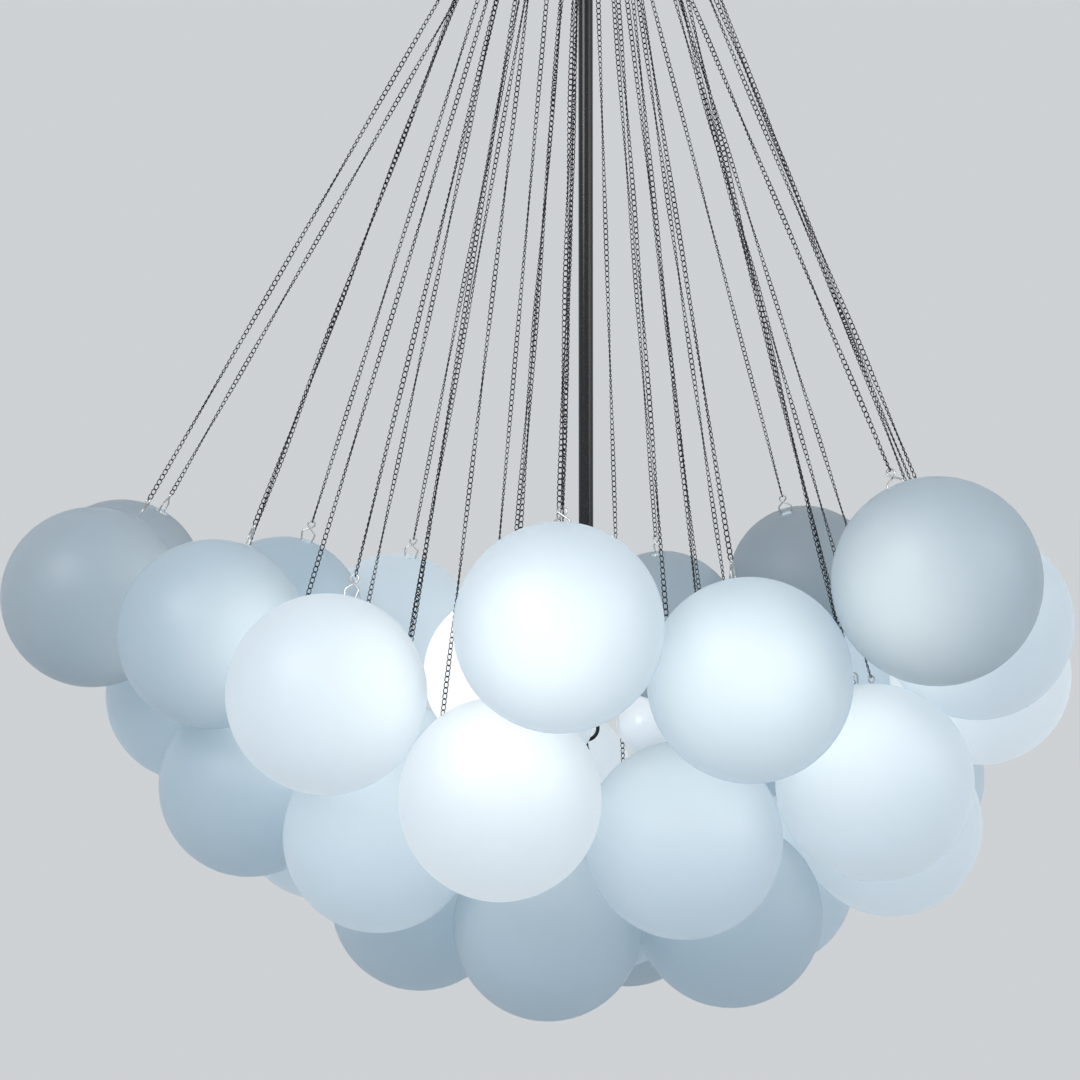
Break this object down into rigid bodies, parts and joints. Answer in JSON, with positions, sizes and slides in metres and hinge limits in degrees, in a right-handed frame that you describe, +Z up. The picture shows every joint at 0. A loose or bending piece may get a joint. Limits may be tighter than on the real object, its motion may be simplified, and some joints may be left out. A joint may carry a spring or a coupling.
{
  "type": "bubble chandelier",
  "caption": "Cluster chandelier: frosted glass globes on fine black chains, heaped as a wide bowl round a lit lamp cluster on a rod, under a round ceiling canopy.",
  "frame": {"origin": "centre of the ceiling bracket's top face, where it meets the ceiling", "axes": "+Z up, out of the ceiling face; -Y towards the side that the picture shows; +X to its right"},
  "size_m": [0.9168, 0.8234, 0.9645],
  "materials": {
    "frosted_glass": "etched white, translucent",
    "black_metal": "black, half gloss",
    "steel": "zinc plated",
    "pale_plastic": "matte",
    "black_sleeve": "matte",
    "lit_bulb": "opal, lit"
  },
  "bodies": {
    "frame": {"ceiling_bracket": "steel", "canopy": "black_metal", "load_plate": "black_metal", "chain_gallery": "black_metal", "plate_nut": "steel", "rod": "black_metal", "terminal_block": "pale_plastic", "lamp_lead": "black_sleeve", "lamp_hub": "black_metal", "bulb_1": "lit_bulb", "bulb_2": "lit_bulb", "bulb_3": "lit_bulb", "bulb_4": "lit_bulb", "bulb_5": "lit_bulb"},
    "upper_pendant_01": {"upper_hanger_01": "black_metal"},
    "upper_pendant_02": {"upper_hanger_02": "black_metal"},
    "upper_pendant_03": {"upper_hanger_03": "black_metal"},
    "upper_pendant_04": {"upper_hanger_04": "black_metal"},
    "upper_pendant_05": {"upper_hanger_05": "black_metal"},
    "upper_pendant_06": {"upper_hanger_06": "black_metal"},
    "upper_pendant_07": {"upper_hanger_07": "black_metal"},
    "upper_pendant_08": {"upper_hanger_08": "black_metal"},
    "upper_pendant_09": {"upper_hanger_09": "black_metal"},
    "upper_pendant_11": {"upper_hanger_11": "black_metal"},
    "middle_pendant_01": {"middle_hanger_01": "black_metal"},
    "upper_globe_01": {"upper_globe_01": "frosted_glass"},
    "upper_globe_02": {"upper_globe_02": "frosted_glass"},
    "upper_globe_03": {"upper_globe_03": "frosted_glass"},
    "upper_globe_04": {"upper_globe_04": "frosted_glass"},
    "upper_globe_05": {"upper_globe_05": "frosted_glass"},
    "upper_globe_06": {"upper_globe_06": "frosted_glass"},
    "upper_globe_07": {"upper_globe_07": "frosted_glass"},
    "upper_globe_08": {"upper_globe_08": "frosted_glass"},
    "upper_globe_09": {"upper_globe_09": "frosted_glass"},
    "upper_globe_10": {"upper_globe_10": "frosted_glass"},
    "upper_globe_11": {"upper_globe_11": "frosted_glass"},
    "upper_globe_12": {"upper_globe_12": "frosted_glass"},
    "upper_globe_13": {"upper_globe_13": "frosted_glass"},
    "upper_globe_14": {"upper_globe_14": "frosted_glass"},
    "upper_globe_15": {"upper_globe_15": "frosted_glass"},
    "upper_globe_16": {"upper_globe_16": "frosted_glass"},
    "upper_globe_17": {"upper_globe_17": "frosted_glass"},
    "middle_globe_01": {"middle_globe_01": "frosted_glass"},
    "middle_globe_02": {"middle_globe_02": "frosted_glass"},
    "middle_globe_03": {"middle_globe_03": "frosted_glass"},
    "middle_globe_04": {"middle_globe_04": "frosted_glass"},
    "middle_globe_05": {"middle_globe_05": "frosted_glass"},
    "middle_globe_06": {"middle_globe_06": "frosted_glass"},
    "middle_globe_07": {"middle_globe_07": "frosted_glass"},
    "middle_globe_08": {"middle_globe_08": "frosted_glass"},
    "middle_globe_09": {"middle_globe_09": "frosted_glass"},
    "middle_globe_10": {"middle_globe_10": "frosted_glass"},
    "middle_globe_11": {"middle_globe_11": "frosted_glass"},
    "lower_globe_01": {"lower_globe_01": "frosted_glass"},
    "lower_globe_02": {"lower_globe_02": "frosted_glass"},
    "lower_globe_03": {"lower_globe_03": "frosted_glass"},
    "lower_globe_04": {"lower_globe_04": "frosted_glass"},
    "lower_globe_05": {"lower_globe_05": "frosted_glass"},
    "lower_globe_06": {"lower_globe_06": "frosted_glass"},
    "lower_globe_07": {"lower_globe_07": "frosted_glass"}
  },
  "joints": [
    {"name": "upper_pendant_01_swing", "type": "hinge", "parent": "frame", "child": "upper_pendant_01", "pos_m": [-0.09655, -0.01357, -0.0502], "axis": [-0.1385, 0.9904, 0], "range_deg": [0, 30]},
    {"name": "upper_pendant_02_swing", "type": "hinge", "parent": "frame", "child": "upper_pendant_02", "pos_m": [-0.09162, 0.03335, -0.0502], "axis": [0.3417, 0.9398, 0], "range_deg": [0, 30]},
    {"name": "upper_pendant_03_swing", "type": "hinge", "parent": "frame", "child": "upper_pendant_03", "pos_m": [-0.05868, -0.07787, -0.0502], "axis": [-0.9263, 0.3767, 0], "range_deg": [0, 30]},
    {"name": "upper_pendant_04_swing", "type": "hinge", "parent": "frame", "child": "upper_pendant_04", "pos_m": [-0.0068, -0.09726, -0.0502], "axis": [-0.9972, 0.0742, 0], "range_deg": [0, 30]},
    {"name": "upper_pendant_05_swing", "type": "hinge", "parent": "frame", "child": "upper_pendant_05", "pos_m": [0.05731, -0.07888, -0.0502], "axis": [-0.809, -0.5878, 0], "range_deg": [0, 30]},
    {"name": "upper_pendant_06_swing", "type": "hinge", "parent": "frame", "child": "upper_pendant_06", "pos_m": [0.08357, -0.05022, -0.0502], "axis": [-0.5176, -0.8556, 0], "range_deg": [0, 30]},
    {"name": "upper_pendant_07_swing", "type": "hinge", "parent": "frame", "child": "upper_pendant_07", "pos_m": [0.09324, 0.02851, -0.0502], "axis": [0.2924, -0.9563, 0], "range_deg": [0, 30]},
    {"name": "upper_pendant_08_swing", "type": "hinge", "parent": "frame", "child": "upper_pendant_08", "pos_m": [0.07577, 0.06136, -0.0502], "axis": [0.4067, -0.9135, 0], "range_deg": [0, 30]},
    {"name": "upper_pendant_09_swing", "type": "hinge", "parent": "frame", "child": "upper_pendant_09", "pos_m": [0.05452, 0.08083, -0.0502], "axis": [0.828, -0.5607, 0], "range_deg": [0, 30]},
    {"name": "upper_pendant_11_swing", "type": "hinge", "parent": "frame", "child": "upper_pendant_11", "pos_m": [-0.0531, 0.08177, -0.0502], "axis": [0.8417, 0.54, 0], "range_deg": [0, 30]},
    {"name": "middle_pendant_01_swing", "type": "hinge", "parent": "frame", "child": "middle_pendant_01", "pos_m": [-0.00619, 0.07073, -0.0502], "axis": [0.9963, 0.0854, 0], "range_deg": [0, 30]},
    {"name": "upper_globe_01_turn", "type": "hinge", "parent": "upper_pendant_01", "child": "upper_globe_01", "pos_m": [-0.40944, -0.05726, -0.61218], "axis": [0.4853, 0.0678, 0.8717], "continuous": true},
    {"name": "upper_globe_02_turn", "type": "hinge", "parent": "upper_pendant_02", "child": "upper_globe_02", "pos_m": [-0.42329, 0.15388, -0.59385], "axis": [0.5117, -0.186, 0.8388], "continuous": true},
    {"name": "upper_globe_03_turn", "type": "hinge", "parent": "upper_pendant_03", "child": "upper_globe_03", "pos_m": [-0.19718, -0.26045, -0.6872], "axis": [0.2046, 0.2697, 0.941], "continuous": true},
    {"name": "upper_globe_04_turn", "type": "hinge", "parent": "upper_pendant_04", "child": "upper_globe_04", "pos_m": [-0.02595, -0.34868, -0.63812], "axis": [0.0299, 0.393, 0.919], "continuous": true},
    {"name": "upper_globe_05_turn", "type": "hinge", "parent": "upper_pendant_05", "child": "upper_globe_05", "pos_m": [0.24246, -0.33372, -0.6052], "axis": [-0.2901, 0.3993, 0.8697], "continuous": true},
    {"name": "upper_globe_06_turn", "type": "hinge", "parent": "upper_pendant_06", "child": "upper_globe_06", "pos_m": [0.29871, -0.18072, -0.63487], "axis": [-0.338, 0.205, 0.9185], "continuous": true},
    {"name": "upper_globe_07_turn", "type": "hinge", "parent": "upper_pendant_07", "child": "upper_globe_07", "pos_m": [0.34427, 0.10525, -0.6277], "axis": [-0.3957, -0.121, 0.9104], "continuous": true},
    {"name": "upper_globe_08_turn", "type": "hinge", "parent": "upper_pendant_08", "child": "upper_globe_08", "pos_m": [0.30309, 0.24543, -0.6952], "axis": [-0.321, -0.2599, 0.9107], "continuous": true},
    {"name": "upper_globe_09_turn", "type": "hinge", "parent": "upper_pendant_09", "child": "upper_globe_09", "pos_m": [0.22325, 0.32969, -0.58989], "axis": [-0.2731, -0.4028, 0.8736], "continuous": true},
    {"name": "upper_globe_10_turn", "type": "hinge", "parent": "frame", "child": "upper_globe_10", "pos_m": [0.08153, 0.30774, -0.63551], "axis": [-0.09, -0.3414, 0.9356], "continuous": true},
    {"name": "upper_globe_11_turn", "type": "hinge", "parent": "upper_pendant_11", "child": "upper_globe_11", "pos_m": [-0.17887, 0.27879, -0.63857], "axis": [0.1987, -0.3112, 0.9294], "continuous": true},
    {"name": "upper_globe_12_turn", "type": "hinge", "parent": "frame", "child": "upper_globe_12", "pos_m": [-0.29671, -0.15218, -0.64277], "axis": [0.329, 0.1692, 0.9291], "continuous": true},
    {"name": "upper_globe_13_turn", "type": "hinge", "parent": "frame", "child": "upper_globe_13", "pos_m": [-0.27699, 0.16522, -0.62733], "axis": [0.3122, -0.1857, 0.9317], "continuous": true},
    {"name": "upper_globe_14_turn", "type": "hinge", "parent": "frame", "child": "upper_globe_14", "pos_m": [-0.34168, 0.04788, -0.69586], "axis": [0.3545, -0.0496, 0.9337], "continuous": true},
    {"name": "upper_globe_15_turn", "type": "hinge", "parent": "frame", "child": "upper_globe_15", "pos_m": [0.11235, -0.30303, -0.67606], "axis": [-0.1187, 0.3178, 0.9407], "continuous": true},
    {"name": "upper_globe_16_turn", "type": "hinge", "parent": "frame", "child": "upper_globe_16", "pos_m": [0.32777, -0.03912, -0.67678], "axis": [-0.3456, 0.0408, 0.9375], "continuous": true},
    {"name": "upper_globe_17_turn", "type": "hinge", "parent": "frame", "child": "upper_globe_17", "pos_m": [-0.07249, 0.17947, -0.679], "axis": [0.0861, -0.2132, 0.9732], "continuous": true},
    {"name": "middle_globe_01_turn", "type": "hinge", "parent": "middle_pendant_01", "child": "middle_globe_01", "pos_m": [-0.02344, 0.2735, -0.7861], "axis": [0.0226, -0.2656, 0.9638], "continuous": true},
    {"name": "middle_globe_02_turn", "type": "hinge", "parent": "frame", "child": "middle_globe_02", "pos_m": [-0.27652, -0.06889, -0.76656], "axis": [0.2777, 0.0692, 0.9582], "continuous": true},
    {"name": "middle_globe_03_turn", "type": "hinge", "parent": "frame", "child": "middle_globe_03", "pos_m": [-0.22967, 0.07014, -0.80012], "axis": [0.2104, -0.0642, 0.9755], "continuous": true},
    {"name": "middle_globe_04_turn", "type": "hinge", "parent": "frame", "child": "middle_globe_04", "pos_m": [-0.16454, -0.1651, -0.79986], "axis": [0.1491, 0.1498, 0.9774], "continuous": true},
    {"name": "middle_globe_05_turn", "type": "hinge", "parent": "frame", "child": "middle_globe_05", "pos_m": [-0.06845, -0.27652, -0.76349], "axis": [0.0689, 0.2788, 0.9579], "continuous": true},
    {"name": "middle_globe_06_turn", "type": "hinge", "parent": "frame", "child": "middle_globe_06", "pos_m": [0.06893, -0.22528, -0.7974], "axis": [-0.063, 0.2057, 0.9766], "continuous": true},
    {"name": "middle_globe_07_turn", "type": "hinge", "parent": "frame", "child": "middle_globe_07", "pos_m": [0.21323, -0.22313, -0.7546], "axis": [-0.1979, 0.2081, 0.9579], "continuous": true},
    {"name": "middle_globe_08_turn", "type": "hinge", "parent": "frame", "child": "middle_globe_08", "pos_m": [0.24523, -0.08229, -0.79696], "axis": [-0.2313, 0.0769, 0.9698], "continuous": true},
    {"name": "middle_globe_09_turn", "type": "hinge", "parent": "frame", "child": "middle_globe_09", "pos_m": [0.28191, 0.10261, -0.7702], "axis": [-0.2848, -0.1037, 0.953], "continuous": true},
    {"name": "middle_globe_10_turn", "type": "hinge", "parent": "frame", "child": "middle_globe_10", "pos_m": [0.13817, 0.24927, -0.8077], "axis": [-0.1318, -0.2378, 0.9623], "continuous": true},
    {"name": "middle_globe_11_turn", "type": "hinge", "parent": "frame", "child": "middle_globe_11", "pos_m": [-0.18509, 0.21225, -0.77478], "axis": [0.1836, -0.2103, 0.9603], "continuous": true},
    {"name": "lower_globe_01_turn", "type": "hinge", "parent": "frame", "child": "lower_globe_01", "pos_m": [-0.13876, -0.03155, -0.86428], "axis": [0.1158, 0.0261, 0.9929], "continuous": true},
    {"name": "lower_globe_02_turn", "type": "hinge", "parent": "frame", "child": "lower_globe_02", "pos_m": [-0.0329, -0.1425, -0.87145], "axis": [0.0275, 0.1192, 0.9925], "continuous": true},
    {"name": "lower_globe_03_turn", "type": "hinge", "parent": "frame", "child": "lower_globe_03", "pos_m": [0.11343, -0.09892, -0.86784], "axis": [-0.0964, 0.0842, 0.9918], "continuous": true},
    {"name": "lower_globe_04_turn", "type": "hinge", "parent": "frame", "child": "lower_globe_04", "pos_m": [0.16219, 0.08201, -0.86016], "axis": [-0.1486, -0.075, 0.986], "continuous": true},
    {"name": "lower_globe_05_turn", "type": "hinge", "parent": "frame", "child": "lower_globe_05", "pos_m": [-0.10267, 0.11451, -0.86779], "axis": [0.088, -0.0983, 0.9913], "continuous": true},
    {"name": "lower_globe_06_turn", "type": "hinge", "parent": "frame", "child": "lower_globe_06", "pos_m": [0.04129, 0.1677, -0.89031], "axis": [-0.0358, -0.146, 0.9886], "continuous": true},
    {"name": "lower_globe_07_turn", "type": "hinge", "parent": "frame", "child": "lower_globe_07", "pos_m": [0.02413, 0.02158, -0.85256], "axis": [-0.1943, -0.1738, 0.9654], "continuous": true}
  ]
}
